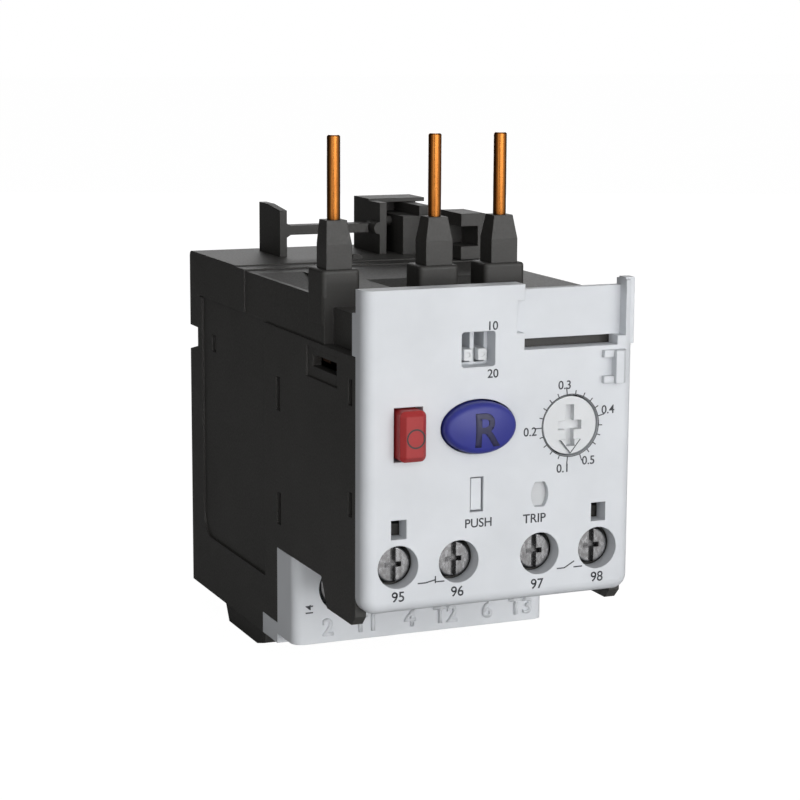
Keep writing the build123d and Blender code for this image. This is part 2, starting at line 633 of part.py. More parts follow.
def bus_bar(pin_x, phase_x):
    """Flat bar from the pin, through the current transformer, to the terminal tongue."""
    edge = pin_x - PIN_ROOT_HALF
    half = BAR_WIDE / 2
    top = roof_prism([
        (edge, PIN_Y - PIN_ROOT_HALF), (edge + BAR_WIDE, PIN_Y - PIN_ROOT_HALF),
        (edge + BAR_WIDE, PIN_Y + BAR_BEND), (phase_x + half, PIN_Y + BAR_JOG), (phase_x + half, BAR_REAR),
        (phase_x - half, BAR_REAR), (phase_x - half, PIN_Y + BAR_JOG), (edge, PIN_Y + BAR_BEND),
    ], BAR_TOP - BAR_THICK, BAR_TOP)
    down = block(phase_x - half, phase_x + half, BAR_REAR - BAR_THICK, BAR_REAR, BAR_LOW, BAR_TOP)
    back = block(phase_x - half, phase_x + half, TONGUE_FRONT, BAR_REAR, BAR_LOW, BAR_LOW + BAR_THICK)
    tongue = block(phase_x - TONGUE_WIDE / 2, phase_x + TONGUE_WIDE / 2, TONGUE_FRONT,
                   TONGUE_FRONT + TONGUE_THICK, TONGUE_BOTTOM, BAR_LOW + BAR_THICK)
    return top + down + back + tongue


def clamp_cage(x, z, wide, side, front, front_thick, rear, rear_thick, low, high, shank_r):
    """Steel box clamp: a ring open above and below, threaded in front for its screw."""
    outer = block(x - wide / 2, x + wide / 2, front, rear, low, high)
    outer -= block(x - wide / 2 + side, x + wide / 2 - side, front + front_thick, rear - rear_thick,
                   low - 1, high + 1)
    outer = fillet(outer.edges().filter_by(Axis.Z).group_by(Axis.Y)[-1], 0.5)
    return outer - rod_y(x, z, shank_r + THREAD_CLEAR, front - 1, front + front_thick + 1)


def clamp_screw(x, z, head_r, head_front, head_long, shank_r, tip):
    """Captive terminal screw with a combined slot and cross in its head."""
    head = rod_y(x, z, head_r, head_front, head_front + head_long)
    head = fillet(head.edges().sort_by(Axis.Y)[0], 0.35)
    screw = head + rod_y(x, z, shank_r, head_front + head_long - 0.1, tip)
    screw -= block(x - SCREW_SLOT / 2, x + SCREW_SLOT / 2, head_front - 1, head_front + SCREW_SLOT_DEPTH,
                   z - head_r - 1, z + head_r + 1)
    return screw - block(x - CROSS_LONG / 2, x + CROSS_LONG / 2, head_front - 1,
                         head_front + SCREW_SLOT_DEPTH + 0.3, z - CROSS_WIDE / 2, z + CROSS_WIDE / 2)


def contact_strip(x, normally_closed):
    """Brass strip from a control clamp's tongue to its fixed contact."""
    half = STRIP_WIDE / 2
    rear = CONTROL_TONGUE_FRONT + CONTROL_TONGUE_THICK
    tongue = block(x - CONTROL_TONGUE_WIDE / 2, x + CONTROL_TONGUE_WIDE / 2, CONTROL_TONGUE_FRONT, rear,
                   CONTROL_TONGUE_LOW, STRIP_SHELF_Z + STRIP_THICK)
    shelf = block(x - half, x + half, CONTROL_TONGUE_FRONT, STRIP_RISE_Y + STRIP_THICK, STRIP_SHELF_Z,
                  STRIP_SHELF_Z + STRIP_THICK)
    if normally_closed:
        face = CLOSED_Z
        arm_low = CLOSED_Z + CONTACT_HIGH
        rivet = rod_z(x, CONTACT_Y, CONTACT_R, face, arm_low)
    else:
        face = OPEN_Z
        arm_low = OPEN_Z - CONTACT_HIGH - STRIP_THICK
        rivet = rod_z(x, CONTACT_Y, CONTACT_R, arm_low + STRIP_THICK, face)
    riser = block(x - half, x + half, STRIP_RISE_Y, STRIP_RISE_Y + STRIP_THICK, STRIP_SHELF_Z,
                  arm_low + STRIP_THICK)
    arm = block(x - half, x + half, CONTACT_Y - CONTACT_R - 0.3, STRIP_RISE_Y + STRIP_THICK, arm_low,
                arm_low + STRIP_THICK)
    return tongue + shelf + riser + arm + rivet


def contact_bridges():
    """The two moving bridges: normally closed on the left, normally open on the right."""
    y0, y1 = CONTACT_Y - BRIDGE_DEEP / 2, CONTACT_Y + BRIDGE_DEEP / 2
    closed = block(CONTROL_X[0] - BRIDGE_OVER, CONTROL_X[1] + BRIDGE_OVER, y0, y1, CLOSED_Z - BRIDGE_THICK,
                   CLOSED_Z)
    gap = CARRIAGE_TRAVEL + SEAT
    opened = block(CONTROL_X[2] - BRIDGE_OVER, CONTROL_X[3] + BRIDGE_OVER, y0, y1, OPEN_Z + gap,
                   OPEN_Z + gap + BRIDGE_THICK)
    return Compound(children=[closed, opened])


def contact_carriage():
    """Moulded carriage that carries both bridges and is drawn down by the armature."""
    open_top = OPEN_Z + CARRIAGE_TRAVEL + SEAT + BRIDGE_THICK
    y0 = CONTACT_Y - 1.0
    y1 = CONTACT_Y + 1.0
    beam_low = open_top
    beam_high = CLOSED_Z - BRIDGE_THICK
    body = block(CONTROL_X[0] + BEAM_INSET, CONTROL_X[3] - BEAM_INSET, y0, y1, beam_low, beam_high)
    middle = YOKE_LEFT + YOKE_WIDE / 2
    nose_half = NOSE_WIDE / 2 + CARRIAGE_CLEAR
    window_low = PIVOT_Z - CARRIAGE_CLEAR
    window_high = PIVOT_Z + ARMATURE_THICK + CARRIAGE_CLEAR
    frame = nose_half + 1.0
    body += block(middle - frame, middle + frame, y0, y1, window_low - 1.0, beam_low + 0.5)
    return body - block(middle - nose_half, middle + nose_half, y0 - 1, y1 + 1, window_low, window_high)


def relay_yoke():
    """Soft iron yoke with the round core of the trip coil."""
    low = FLOOR_TOP + SEAT
    right = YOKE_LEFT + YOKE_WIDE
    lever = PIVOT_Y - CORE_Y + CORE_R
    pole = PIVOT_Z - lever * sin(radians(ARMATURE_SWING)) - 0.1
    half = YOKE_THICK / 2
    body = block(YOKE_LEFT, right, CORE_Y - COIL_R, PIVOT_Y + half, low, low + YOKE_THICK)
    body += block(YOKE_LEFT, right, PIVOT_Y - half, PIVOT_Y + half, low, PIVOT_Z)
    body += rod_x(YOKE_LEFT, right, PIVOT_Y, PIVOT_Z, half)
    return body + rod_z(YOKE_LEFT + YOKE_WIDE / 2, CORE_Y, CORE_R, low, pole)


def relay_coil():
    """Wound bobbin on the core."""
    x = YOKE_LEFT + YOKE_WIDE / 2
    low = FLOOR_TOP + SEAT + YOKE_THICK + SEAT
    body = rod_z(x, CORE_Y, COIL_R - 0.6, low, COIL_TOP)
    body += rod_z(x, CORE_Y, COIL_R, low, low + 0.8)
    body += rod_z(x, CORE_Y, COIL_R, COIL_TOP - 0.8, COIL_TOP)
    return body - rod_z(x, CORE_Y, CORE_R + SEAT, low - 1, COIL_TOP + 1)


def armature():
    """Flat armature that rocks on the rounded rear edge of the yoke and reaches into the carriage."""
    x = YOKE_LEFT + YOKE_WIDE / 2
    right = YOKE_LEFT + YOKE_WIDE
    plate = block(YOKE_LEFT, right, CONTACT_Y + 2.4, PIVOT_Y + 1.5, PIVOT_Z, PIVOT_Z + ARMATURE_THICK)
    plate += block(x - NOSE_WIDE / 2, x + NOSE_WIDE / 2, ARMATURE_NOSE, CONTACT_Y + 3, PIVOT_Z,
                   PIVOT_Z + ARMATURE_THICK)
    return plate - rod_x(YOKE_LEFT - 1, right + 1, PIVOT_Y, PIVOT_Z, YOKE_THICK / 2 + PIVOT_CLEAR)


def transformer_core(x):
    """Laminated ring core round one bus bar."""
    ring = block(x - CT_HALF, x + CT_HALF, CT_FRONT, CT_REAR, CT_LOW, CT_HIGH)
    return ring - block(x - CT_WINDOW_HALF, x + CT_WINDOW_HALF, CT_WINDOW_FRONT, CT_WINDOW_REAR, CT_LOW - 1,
                        CT_HIGH + 1)


def transformer_winding(x):
    """Secondary winding on the rear limb of the core."""
    body = block(x - WINDING_HALF, x + WINDING_HALF, WINDING_FRONT, WINDING_REAR, WINDING_LOW, WINDING_HIGH)
    body = fillet(body.edges().filter_by(Axis.X), 1.5)
    return body - block(x - CT_HALF, x + CT_HALF, CT_WINDOW_REAR - SEAT, CT_REAR + SEAT, CT_LOW - SEAT,
                        CT_HIGH + SEAT)


def button_stem(x, z, start):
    """Round stem behind a button's flange."""
    return rod_y(x, z, STEM_R, start - 0.1, STEM_END)


def reset_button():
    """Oval reset button with a domed crown, flange and stem."""
    crown = ellipse_y(RESET_X, RESET_Z, RESET_WIDE, RESET_HIGH, -RESET_PROUD, COVER_THICK + FLANGE_GAP + 0.1)
    crown &= Pos(RESET_X, RESET_DOME_R - RESET_PROUD, RESET_Z) * Sphere(RESET_DOME_R)
    crown = fillet(crown.edges().sort_by(Axis.Y)[0], RESET_EDGE)
    flange = ellipse_y(RESET_X, RESET_Z, RESET_WIDE + 2 * FLANGE_OVER, RESET_HIGH + 2 * FLANGE_OVER,
                       COVER_THICK + FLANGE_GAP, COVER_THICK + FLANGE_GAP + FLANGE_THICK)
    return crown + flange + button_stem(RESET_X, RESET_Z, COVER_THICK + FLANGE_GAP + FLANGE_THICK)


def stop_button():
    """Rectangular stop button with rounded edges, flange and stem."""
    x0, x1 = STOP_X - STOP_WIDE / 2, STOP_X + STOP_WIDE / 2
    z0, z1 = STOP_Z - STOP_HIGH / 2, STOP_Z + STOP_HIGH / 2
    cap = block(x0, x1, -STOP_PROUD, COVER_THICK + FLANGE_GAP + 0.1, z0, z1)
    cap = fillet(cap.edges().filter_by(Axis.Y), STOP_BEVEL + 0.15)
    cap = chamfer(cap.faces().sort_by(Axis.Y)[0].edges(), STOP_BEVEL)
    flange = block(x0 - FLANGE_OVER, x1 + FLANGE_OVER, COVER_THICK + FLANGE_GAP,
                   COVER_THICK + FLANGE_GAP + FLANGE_THICK, z0 - FLANGE_OVER, z1 + FLANGE_OVER)
    return cap + flange + button_stem(STOP_X, STOP_Z, COVER_THICK + FLANGE_GAP + FLANGE_THICK)


def test_button():
    """Narrow test plunger, just below the face of the cover."""
    x0, x1 = TEST_X - TEST_WIDE / 2, TEST_X + TEST_WIDE / 2
    z0, z1 = TEST_Z - TEST_HIGH / 2, TEST_Z + TEST_HIGH / 2
    blade = block(x0, x1, TEST_SUNK, COVER_THICK + FLANGE_GAP + 0.1, z0, z1)
    flange = block(x0 - FLANGE_OVER, x1 + FLANGE_OVER, COVER_THICK + FLANGE_GAP,
                   COVER_THICK + FLANGE_GAP + FLANGE_THICK, z0 - FLANGE_OVER, z1 + FLANGE_OVER)
    return blade + flange + button_stem(TEST_X, TEST_Z, COVER_THICK + FLANGE_GAP + FLANGE_THICK)


def button_spring(x, z):
    """Compression spring between a button's flange and the control board."""
    start = COVER_THICK + FLANGE_GAP + FLANGE_THICK + SPRING_WIRE_R
    end = BOARD_FRONT - SPRING_WIRE_R
    coil_r = STEM_R + 0.3 + SPRING_WIRE_R
    path = Helix(pitch=(end - start) / SPRING_TURNS, height=end - start, radius=coil_r)
    wire = sweep(Plane(origin=path @ 0, z_dir=path % 0) * Circle(SPRING_WIRE_R), path=path)
    return Pos(x, start, z) * Rot(-90, 0, 0) * wire


def control_board():
    """Main circuit board behind the cover, bored for the button stems."""
    rear = BOARD_FRONT + BOARD_THICK
    body = block(BOARD_LEFT, WIDTH - BOARD_LEFT, BOARD_FRONT, rear, BOARD_LOW, SEAM - SEAT)
    narrow = WALL + INNER_WALL + BOARD_GAP
    body += block(narrow, WIDTH - narrow, BOARD_FRONT, rear, SEAM - 1, BOARD_HIGH)
    for x, z in ((RESET_X, RESET_Z), (STOP_X, STOP_Z), (TEST_X, TEST_Z)):
        body -= rod_y(x, z, STEM_R + 0.3, BOARD_FRONT - 1, BOARD_FRONT + BOARD_THICK + 1)
    return body


def potentiometer():
    """Setting potentiometer on the board, with a bore for the dial's stem."""
    half = POT_WIDE / 2
    body = block(DIAL_X - half, DIAL_X + half, POT_FRONT, BOARD_FRONT, DIAL_Z - half, DIAL_Z + half)
    return body - rod_y(DIAL_X, DIAL_Z, DIAL_STEM_R + DIAL_STEM_CLEAR, POT_FRONT - 1, BOARD_FRONT - 0.4)


def current_dial():
    """Setting dial: disc with a cross slot and a raised arrow, on a short stem."""
    rear = DIAL_FRONT + DIAL_THICK
    body = rod_y(DIAL_X, DIAL_Z, DIAL_R, DIAL_FRONT, rear)
    arrow = [(DIAL_X - 1.7, DIAL_Z - 2.2), (DIAL_X + 1.7, DIAL_Z - 2.2), (DIAL_X, DIAL_Z - DIAL_R + 0.1)]
    body += front_prism(arrow, DIAL_FRONT - 0.35, DIAL_FRONT + 0.1)
    bottom = DIAL_FRONT + DIAL_SLOT_DEPTH
    body -= block(DIAL_X - DIAL_SLOT_WIDE / 2, DIAL_X + DIAL_SLOT_WIDE / 2, DIAL_FRONT - 1, bottom,
                  DIAL_Z - DIAL_SLOT_LONG / 2, DIAL_Z + DIAL_SLOT_LONG / 2)
    body -= block(DIAL_X - DIAL_SLOT_SHORT / 2, DIAL_X + DIAL_SLOT_SHORT / 2, DIAL_FRONT - 1, bottom,
                  DIAL_Z - DIAL_SLOT_WIDE / 2, DIAL_Z + DIAL_SLOT_WIDE / 2)
    return body + rod_y(DIAL_X, DIAL_Z, DIAL_STEM_R, rear - 0.1, BOARD_FRONT - 0.6)


def mode_switch():
    """Two-way mode switch body with one slot for each lever."""
    body = block(SWITCH_LEFT, SWITCH_RIGHT, COVER_THICK + SEAT, BOARD_FRONT, SWITCH_LOW, SWITCH_HIGH)
    for x in LEVER_X:
        body -= block(x - LEVER_SLOT_WIDE / 2, x + LEVER_SLOT_WIDE / 2, COVER_THICK - 1, BOARD_FRONT - 1.2,
                      LEVER_SLOT_LOW, LEVER_SLOT_HIGH)
    return body


def mode_lever(x):
    """Sliding lever of the mode switch, with a shallow saddle in its front end."""
    body = block(x - LEVER_WIDE / 2, x + LEVER_WIDE / 2, LEVER_FRONT, BOARD_FRONT - 1.5, LEVER_LOW,
                 LEVER_LOW + LEVER_HIGH)
    return body - rod_y(x, LEVER_LOW + LEVER_HIGH / 2, 0.35, LEVER_FRONT - 1, LEVER_FRONT + 0.15)


def light_pipe():
    """Clear light guide from the lamp on the board to the status window."""
    clear = 0.05
    head = barrel(LIGHT_X, LIGHT_Z, LIGHT_WIDE - 2 * clear, LIGHT_HIGH - 2 * clear, LIGHT_SIDE_R, LIGHT_FRONT,
                  COVER_FLANK)
    return head + rod_y(LIGHT_X, LIGHT_Z, 1.3, COVER_FLANK - 0.5, BOARD_FRONT)


def guide_post():
    """Upright guide on the roof with the arm that ends in a rounded socket."""
    right = POST_X + POST_THICK
    post = side_prism([(POST_FRONT, TOP), (POST_REAR, TOP), (POST_REAR, POST_TOP),
                       (POST_FRONT + 6.5, POST_TOP), (POST_FRONT, POST_TOP - 0.7)], POST_X, right)
    arm = block(right - 0.2, ARM_END, POST_FRONT, POST_FRONT + ARM_DEEP, ARM_LOW, ARM_HIGH)
    gusset = front_prism([(right - 0.1, ARM_HIGH + 0.5), (right - 0.1, ARM_LOW - 0.5),
                          (right + 0.9, ARM_LOW + 0.1), (right + 0.9, ARM_HIGH - 0.1)],
                         POST_FRONT, POST_FRONT + ARM_DEEP)
    ball_z = (ARM_LOW + ARM_HIGH) / 2
    socket = rod_y(LATCH_LEFT, ball_z, BALL_R + 0.5, POST_FRONT - 1, POST_FRONT + ARM_DEEP + 1)
    return post + arm + gusset - socket


def latch_frame():
    """Open-fronted latch housing on the roof with the half-round stud beside the arm."""
    wall = POST_THICK
    body = block(LATCH_LEFT, LATCH_LEFT + wall, LATCH_FRONT, POST_REAR, TOP, LATCH_TOP)
    body += block(LATCH_LEFT, LATCH_RIGHT, LATCH_FRONT + 5.5, POST_REAR, LATCH_TOP - 0.4, LATCH_TOP + 0.3)
    body += block(LATCH_LEFT, LATCH_RIGHT, POST_REAR - 3.0, POST_REAR, TOP, LATCH_TOP)
    x0, x1, y0, z1 = LATCH_BLOCK
    body += block(LATCH_LEFT, x0, LATCH_FRONT + 5.5, POST_REAR - 2.0, LATCH_TOP - 1.6, LATCH_TOP)
    body += rod_x(LATCH_LEFT + 0.5, x0 + 0.5, LATCH_FRONT + 4.0, TOP + 5.5, LATCH_ROD_R)
    body += block(x0, x1, y0, POST_REAR - 2.0, TOP, z1)
    body += block(x1 - 2.2, x1, y0, POST_REAR - 2.0, z1 - 0.5, LATCH_TOP - 0.5)
    ball_z = (ARM_LOW + ARM_HIGH) / 2
    body += rod_y(LATCH_LEFT, ball_z, BALL_R, LATCH_FRONT, POST_FRONT + ARM_DEEP)
    return body


def roof_hook():
    """C-shaped hook at the right of the roof that grips the contactor."""
    low, high = HOOK_SLOT
    body = block(HOOK_LEFT, HOOK_RIGHT, HOOK_FRONT, HOOK_REAR, TOP, HOOK_TOP)
    body -= block(HOOK_LEFT - 1, HOOK_RIGHT - HOOK_WEB, HOOK_FRONT - 1, HOOK_REAR - 2.0, low, high)
    front_top = body.edges().filter_by(Axis.Y).sort_by(lambda e: e.center().X + e.center().Z)[-1]
    return fillet(front_top, 0.5)


def export(name, shape):
    """Write one node, moved so that the origin is at the middle power pin."""
    moved = shape.moved(Location((-ORIGIN[0], -ORIGIN[1], -ORIGIN[2])))
    moved.label = name
    export_step(moved, f"parts/{name}.step")


def build():
    """All nodes of the relay by name."""
    nodes = {
        "base_housing": base_housing(),
        "upper_housing": upper_housing(),
        "front_cover": front_cover(),
        "terminal_block": terminal_block(),
        "control_block": control_block(),
        "pin_sleeves": pin_sleeves(),
        "guide_post": guide_post(),
        "latch_frame": latch_frame(),
        "roof_hook": roof_hook(),
        "control_board": control_board(),
        "potentiometer": potentiometer(),
        "current_dial": current_dial(),
        "mode_switch": mode_switch(),
        "light_pipe": light_pipe(),
        "reset_button": reset_button(),
        "stop_button": stop_button(),
        "test_button": test_button(),
        "reset_spring": button_spring(RESET_X, RESET_Z),
        "stop_spring": button_spring(STOP_X, STOP_Z),
        "test_spring": button_spring(TEST_X, TEST_Z),
        "relay_yoke": relay_yoke(),
        "relay_coil": relay_coil(),
        "armature": armature(),
        "contact_carriage": contact_carriage(),
        "contact_bridges": contact_bridges(),
        "sensor_board": block(WALL + 0.2, WIDTH - WALL - 0.2, SENSOR_BOARD_FRONT,
                              SENSOR_BOARD_FRONT + BOARD_THICK, 0.0, SEAM - 0.5),
    }
    for i, x in enumerate(LEVER_X):
        nodes[f"mode_lever_{i + 1}"] = mode_lever(x)
    for i, (pin_x, phase_x) in enumerate(zip(PIN_X, PHASE_X)):
        nodes[f"power_pin_{i + 1}"] = power_pin(pin_x)
        nodes[f"bus_bar_{i + 1}"] = bus_bar(pin_x, phase_x)
        nodes[f"ct_core_{i + 1}"] = transformer_core(phase_x)
        nodes[f"ct_winding_{i + 1}"] = transformer_winding(phase_x)
        nodes[f"power_cage_{i + 1}"] = clamp_cage(
            phase_x, POWER_AXIS_Z, CAGE_WIDE, CAGE_SIDE, CAGE_FRONT, CAGE_FRONT_THICK, CAGE_REAR,
            CAGE_REAR_THICK, CAGE_LOW, CAGE_HIGH, POWER_SHANK_R)
        nodes[f"power_screw_{i + 1}"] = clamp_screw(phase_x, POWER_AXIS_Z, POWER_HEAD_R, POWER_HEAD_FRONT,
                                                    POWER_HEAD_LONG, POWER_SHANK_R, TONGUE_FRONT - SEAT)
    for number, x in zip((95, 96, 97, 98), CONTROL_X):
        nodes[f"contact_strip_{number}"] = contact_strip(x, number < 97)
        nodes[f"control_cage_{number}"] = clamp_cage(
            x, CONTROL_Z, CONTROL_CAGE_WIDE, CONTROL_CAGE_SIDE, CONTROL_CAGE_FRONT,
            CONTROL_CAGE_FRONT_THICK, CONTROL_CAGE_REAR, CONTROL_CAGE_REAR_THICK, CONTROL_CAGE_LOW,
            CONTROL_CAGE_HIGH, CONTROL_SHANK_R)
        nodes[f"control_screw_{number}"] = clamp_screw(x, CONTROL_Z, CONTROL_HEAD_R, CONTROL_HEAD_FRONT,
                                                       CONTROL_HEAD_LONG, CONTROL_SHANK_R,
                                                       CONTROL_TONGUE_FRONT - SEAT)
    return nodes


os.makedirs("parts", exist_ok=True)
for node_name, node_shape in build().items():
    export(node_name, node_shape)
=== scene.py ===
import math

import bmesh
import bpy
from mathutils import Matrix, Vector


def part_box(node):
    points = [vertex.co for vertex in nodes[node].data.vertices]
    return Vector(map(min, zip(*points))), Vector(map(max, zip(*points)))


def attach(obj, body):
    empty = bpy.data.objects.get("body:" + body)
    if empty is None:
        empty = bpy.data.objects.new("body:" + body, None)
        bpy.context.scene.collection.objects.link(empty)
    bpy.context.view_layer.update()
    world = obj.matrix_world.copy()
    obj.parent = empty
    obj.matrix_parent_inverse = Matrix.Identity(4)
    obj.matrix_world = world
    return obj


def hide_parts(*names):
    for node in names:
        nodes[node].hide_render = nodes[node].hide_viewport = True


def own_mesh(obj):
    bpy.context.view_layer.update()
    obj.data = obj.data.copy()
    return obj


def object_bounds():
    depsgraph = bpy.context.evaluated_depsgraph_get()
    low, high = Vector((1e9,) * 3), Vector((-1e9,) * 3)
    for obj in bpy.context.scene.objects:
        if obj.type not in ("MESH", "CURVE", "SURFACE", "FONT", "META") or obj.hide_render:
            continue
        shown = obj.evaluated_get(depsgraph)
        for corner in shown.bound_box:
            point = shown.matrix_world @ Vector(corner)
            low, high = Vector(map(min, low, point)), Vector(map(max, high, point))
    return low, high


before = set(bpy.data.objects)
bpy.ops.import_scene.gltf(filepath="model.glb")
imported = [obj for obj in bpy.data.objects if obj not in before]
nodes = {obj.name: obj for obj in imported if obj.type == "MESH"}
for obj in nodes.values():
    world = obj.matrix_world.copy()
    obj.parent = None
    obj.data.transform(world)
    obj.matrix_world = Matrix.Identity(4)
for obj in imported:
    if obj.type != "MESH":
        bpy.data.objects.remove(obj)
cad_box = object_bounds()
scene = bpy.context.scene
MM = 0.001

# The viewpoint: a long lens from the front left, slightly above the cover, as in the product
# photograph. Places are from the lower left corner of the cover's front plate, whose face lies the
# cover's depth before its rear edge.
COVER_DEPTH = 4.7 * MM
cover_low, cover_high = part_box("front_cover")
CORNER = Vector((cover_low.x, cover_high.y - COVER_DEPTH, cover_low.z))
AZIMUTH = math.radians(24.0)
ELEVATION = math.radians(10.01)
ROLL = math.radians(0.49)
AIM = Vector((22.0, 20.0, 28.32)) * MM
DISTANCE = 353.56 * MM
FOCAL_PX = 2223.18
CENTRE_PX = 445.3
FRAME_PX = 800
SENSOR = 36.0

back = Vector((-math.sin(AZIMUTH) * math.cos(ELEVATION), -math.cos(AZIMUTH) * math.cos(ELEVATION),
               math.sin(ELEVATION)))
right = Vector((math.cos(AZIMUTH), -math.sin(AZIMUTH), 0.0))
up = back.cross(right)
right, up = (right * math.cos(ROLL) + up * math.sin(ROLL), up * math.cos(ROLL) - right * math.sin(ROLL))
camera = bpy.data.objects.new("camera", bpy.data.cameras.new("camera"))
camera.data.sensor_width = SENSOR
camera.data.lens = FOCAL_PX / FRAME_PX * SENSOR
camera.data.shift_x = (FRAME_PX / 2 - CENTRE_PX) / FRAME_PX
camera.data.clip_start = 0.01
camera.matrix_world = (Matrix.Translation(CORNER + AIM + back * DISTANCE)
                       @ Matrix((right, up, back)).transposed().to_4x4())
scene.collection.objects.link(camera)
scene.camera = camera
scene.view_settings.view_transform = "Standard"


# The studio: a white paper sweep that the lens sees as plain white, a broad soft window in front and
# to the right, small ones that fill the other sides, and a dim room behind, so that black mouldings
# stay black on the side.
def srgb(code):
    """Linear colour from an sRGB hex value."""
    values = [int(code[i:i + 2], 16) / 255 for i in (0, 2, 4)]
    return [v / 12.92 if v <= 0.04045 else ((v + 0.055) / 1.055) ** 2.4 for v in values] + [1.0]


def add_node(tree, kind, inputs=None, **settings):
    """Adds a shader node with its settings; an input is a plain value or the socket that feeds it."""
    node = tree.nodes.new(kind)
    for name, value in settings.items():
        setattr(node, name, value)
    for name, value in (inputs or {}).items():
        if isinstance(value, bpy.types.NodeSocket):
            tree.links.new(value, node.inputs[name])
        else:
            node.inputs[name].default_value = value
    return node


def add_ramp(tree, value, stops):
    """Adds a colour ramp with stops of place and hex colour, and returns its colour."""
    ramp = add_node(tree, "ShaderNodeValToRGB", {"Fac": value})
    elements = ramp.color_ramp.elements
    while len(elements) < len(stops):
        elements.new(0.5)
    for element, (place, code) in zip(elements, stops):
        element.position = place
        element.color = srgb(code)
    return ramp.outputs["Color"]


def shown_rays(tree, mirrored):
    """Rays that find the white background: the lens's, clear plastic's and a share of mirrored ones."""
    rays = add_node(tree, "ShaderNodeLightPath").outputs
    share = add_node(tree, "ShaderNodeMath", {0: rays["Is Glossy Ray"], 1: mirrored}, operation="MULTIPLY")
    clear = add_node(tree, "ShaderNodeMath", {0: rays["Is Camera Ray"], 1: rays["Is Transmission Ray"]},
                     operation="MAXIMUM")
    both = add_node(tree, "ShaderNodeMath", {0: share.outputs["Value"], 1: clear.outputs["Value"]},
                    operation="MAXIMUM")
    return both.outputs["Value"]


world = bpy.data.worlds.new("studio")
world.use_nodes = True
scene.world = world
room = world.node_tree
room.nodes.clear()
direction = add_node(room, "ShaderNodeTexCoord").outputs["Generated"]
heading = add_node(room, "ShaderNodeSeparateXYZ", {"Vector": direction}).outputs["Y"]
frontness = add_node(room, "ShaderNodeMapRange", {"Value": heading, "From Min": 0.35, "From Max": -0.75})
walls = add_ramp(room, frontness.outputs["Result"], [(0.0, "141414"), (0.5, "3a3a3a"), (1.0, "c0c0c0")])
mirror_share = add_node(room, "ShaderNodeMapRange", {"Value": frontness.outputs["Result"], "To Max": 0.9})
lit = add_node(room, "ShaderNodeBackground", {"Color": walls, "Strength": 0.7})
plain = add_node(room, "ShaderNodeBackground", {"Color": srgb("ffffff"), "Strength": 1.0})
seen = add_node(room, "ShaderNodeMixShader", {"Fac": shown_rays(room, mirror_share.outputs["Result"])})
room.links.new(lit.outputs["Background"], seen.inputs[1])
room.links.new(plain.outputs["Background"], seen.inputs[2])
add_node(room, "ShaderNodeOutputWorld", {"Surface": seen.outputs["Shader"]})


def hang_window(name, place, aim_height, width, height, power):
    """Hangs a rectangular soft light that faces the object's axis at a height."""
    lamp = bpy.data.lights.new(name, "AREA")
    lamp.shape = "RECTANGLE"
    lamp.size = width
    lamp.size_y = height
    lamp.energy = power
    lit_from = bpy.data.objects.new(name, lamp)
    lit_from.location = place
    lit_from.rotation_mode = "QUATERNION"
    lit_from.rotation_quaternion = (Vector((0.0, 0.0, aim_height)) - Vector(place)).to_track_quat("-Z", "Y")
    scene.collection.objects.link(lit_from)


hang_window("key_window", (0.36, -0.66, 0.10), -0.03, 0.6, 0.6, 2.6)
hang_window("fill_window", (-0.06, -0.80, 0.25), -0.03, 0.3, 0.5, 1.2)
hang_window("left_window", (-0.50, -0.50, 0.06), -0.02, 0.3, 0.3, 0.7)
hang_window("low_window", (0.02, -0.55, 0.0), -0.01, 0.5, 0.06, 0.8)
hang_window("top_window", (0.05, 0.05, 0.65), 0.0, 0.5, 0.5, 0.5)
hang_window("rear_window", (0.30, 0.85, 0.18), -0.03, 0.6, 0.5, 2.0)


def new_material(name):
    """A named material whose node tree is still empty, and that tree."""
    made = bpy.data.materials.new(name)
    made.use_nodes = True
    made.node_tree.nodes.clear()
    return made, made.node_tree


SWEEP_HALF = 3.0
sweep = bmesh.new()
bmesh.ops.create_grid(sweep, x_segments=1, y_segments=1, size=SWEEP_HALF)
bmesh.ops.translate(sweep, verts=sweep.verts, vec=(0.0, 0.0, cad_box[0].z))
floor_mesh = bpy.data.meshes.new("floor")
sweep.to_mesh(floor_mesh)
sweep.free()
floor = bpy.data.objects.new("floor", floor_mesh)
scene.collection.objects.link(floor)
paper, fibres = new_material("white_paper_sweep")
matt = add_node(fibres, "ShaderNodeBsdfDiffuse", {"Color": srgb("c8c8c8")})
glow = add_node(fibres, "ShaderNodeEmission", {"Color": srgb("ffffff"), "Strength": 1.16})
spot = add_node(fibres, "ShaderNodeTexCoord").outputs["Object"]
depth = add_node(fibres, "ShaderNodeSeparateXYZ", {"Vector": spot}).outputs["Y"]
nearness = add_node(fibres, "ShaderNodeMapRange", {"Value": depth, "From Min": 0.02, "From Max": -0.25})
seen_rays = shown_rays(fibres, nearness.outputs["Result"])
keep_shadow = add_node(fibres, "ShaderNodeMath", {0: seen_rays, 1: 0.85}, operation="MULTIPLY")
show = add_node(fibres, "ShaderNodeMixShader", {"Fac": keep_shadow.outputs["Value"]})
fibres.links.new(matt.outputs["BSDF"], show.inputs[1])
fibres.links.new(glow.outputs["Emission"], show.inputs[2])
add_node(fibres, "ShaderNodeOutputMaterial", {"Surface": show.outputs["Shader"]})
floor.data.materials.append(paper)


